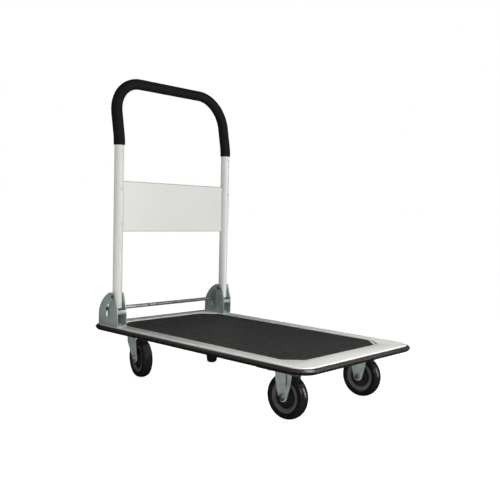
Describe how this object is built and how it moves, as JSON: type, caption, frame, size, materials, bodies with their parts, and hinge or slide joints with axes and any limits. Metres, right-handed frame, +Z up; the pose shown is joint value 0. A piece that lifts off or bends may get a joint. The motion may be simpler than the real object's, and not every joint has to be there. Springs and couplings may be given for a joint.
{
  "type": "folding platform cart",
  "caption": "Flat steel deck on two fixed and two swivelling casters, with a U-shaped push handle that folds forward when a sprung foot bar is pressed.",
  "frame": {"origin": "on the floor under the middle of the deck", "axes": "+Z up, +X to the front of the cart away from the push handle, +Y to the cart's left"},
  "size_m": [0.74, 0.4534, 0.8005],
  "materials": {
    "white_paint": "glossy white powder coat",
    "mat_rubber": "matte black ribbed rubber",
    "bumper_rubber": "semi-gloss black rubber",
    "grip_foam": "matte black foam",
    "zinc_plate": "zinc plated pressed steel",
    "bright_steel": "bright plated steel",
    "spring_steel": "drawn wire",
    "grey_paint": "dark underside paint",
    "tyre_rubber": "smooth solid rubber",
    "hub_plastic": "moulded dark grey plastic",
    "bush_plastic": "natural nylon"
  },
  "bodies": {
    "deck": {"bracket_bolts": "bright_steel", "deck_mat": "mat_rubber", "deck_tray": "white_paint", "edge_bumper": "bumper_rubber", "front_caster_bolts": "bright_steel", "front_caster_nuts": "bright_steel", "front_crossmember": "grey_paint", "hinge_bracket_left": "zinc_plate", "hinge_bracket_right": "zinc_plate", "latch_spring_left": "spring_steel", "latch_spring_right": "spring_steel", "pivot_pin_left": "bright_steel", "pivot_pin_right": "bright_steel", "rear_caster_bolts": "bright_steel", "rear_caster_nuts": "bright_steel", "rear_crossmember": "grey_paint", "rigid_axle_bolt_left": "bright_steel", "rigid_axle_bolt_right": "bright_steel", "rigid_axle_nut_left": "bright_steel", "rigid_axle_nut_right": "bright_steel", "rigid_caster_frame_left": "zinc_plate", "rigid_caster_frame_right": "zinc_plate", "swivel_kingpin_left": "bright_steel", "swivel_kingpin_right": "bright_steel", "swivel_plate_left": "zinc_plate", "swivel_plate_right": "zinc_plate"},
    "handle": {"handle_tube": "white_paint", "handle_grip": "grip_foam", "handle_panel": "white_paint", "panel_rivets": "white_paint"},
    "latch_rod": {"latch_rod": "bright_steel", "rod_clips": "bright_steel"},
    "swivel_left": {"swivel_fork_left": "zinc_plate", "swivel_axle_bolt_left": "bright_steel", "swivel_axle_nut_left": "bright_steel", "swivel_balls_left": "bright_steel"},
    "front_wheel_left": {"front_tyre_left": "tyre_rubber", "front_hub_left": "hub_plastic", "front_bush_left": "bush_plastic"},
    "rear_wheel_left": {"rear_tyre_left": "tyre_rubber", "rear_hub_left": "hub_plastic", "rear_bush_left": "bush_plastic"},
    "swivel_right": {"swivel_fork_right": "zinc_plate", "swivel_axle_bolt_right": "bright_steel", "swivel_axle_nut_right": "bright_steel", "swivel_balls_right": "bright_steel"},
    "front_wheel_right": {"front_tyre_right": "tyre_rubber", "front_hub_right": "hub_plastic", "front_bush_right": "bush_plastic"},
    "rear_wheel_right": {"rear_tyre_right": "tyre_rubber", "rear_hub_right": "hub_plastic", "rear_bush_right": "bush_plastic"}
  },
  "joints": [
    {"name": "handle_fold", "type": "hinge", "parent": "deck", "child": "handle", "pos_m": [-0.2828, 0, 0.2149], "axis": [0, 1, 0], "range_deg": [0, 98]},
    {"name": "latch_press", "type": "slide", "parent": "deck", "child": "latch_rod", "axis": [-0.2097, 0, -0.9778], "range_m": [0, 0.016], "stiffness_N_per_m": 400, "springref_m": -0.02, "deforming": ["latch_spring_left", "latch_spring_right"]},
    {"name": "swivel_left", "type": "hinge", "parent": "deck", "child": "swivel_left", "pos_m": [-0.2672, 0.1413, 0.1052], "axis": [0, 0, 1], "continuous": true},
    {"name": "front_wheel_left_spin", "type": "hinge", "parent": "deck", "child": "front_wheel_left", "pos_m": [0.2633, 0.1465, 0.0515], "axis": [0, 1, 0], "continuous": true},
    {"name": "rear_wheel_left_spin", "type": "hinge", "parent": "swivel_left", "child": "rear_wheel_left", "pos_m": [-0.24613, 0.12362, 0.0515], "axis": [0.6428, 0.766, 0], "continuous": true},
    {"name": "swivel_right", "type": "hinge", "parent": "deck", "child": "swivel_right", "pos_m": [-0.2672, -0.1413, 0.1052], "axis": [0, 0, 1], "continuous": true},
    {"name": "front_wheel_right_spin", "type": "hinge", "parent": "deck", "child": "front_wheel_right", "pos_m": [0.2633, -0.1465, 0.0515], "axis": [0, 1, 0], "continuous": true},
    {"name": "rear_wheel_right_spin", "type": "hinge", "parent": "swivel_right", "child": "rear_wheel_right", "pos_m": [-0.24064, -0.14842, 0.0515], "axis": [0.2588, 0.9659, 0], "continuous": true}
  ]
}
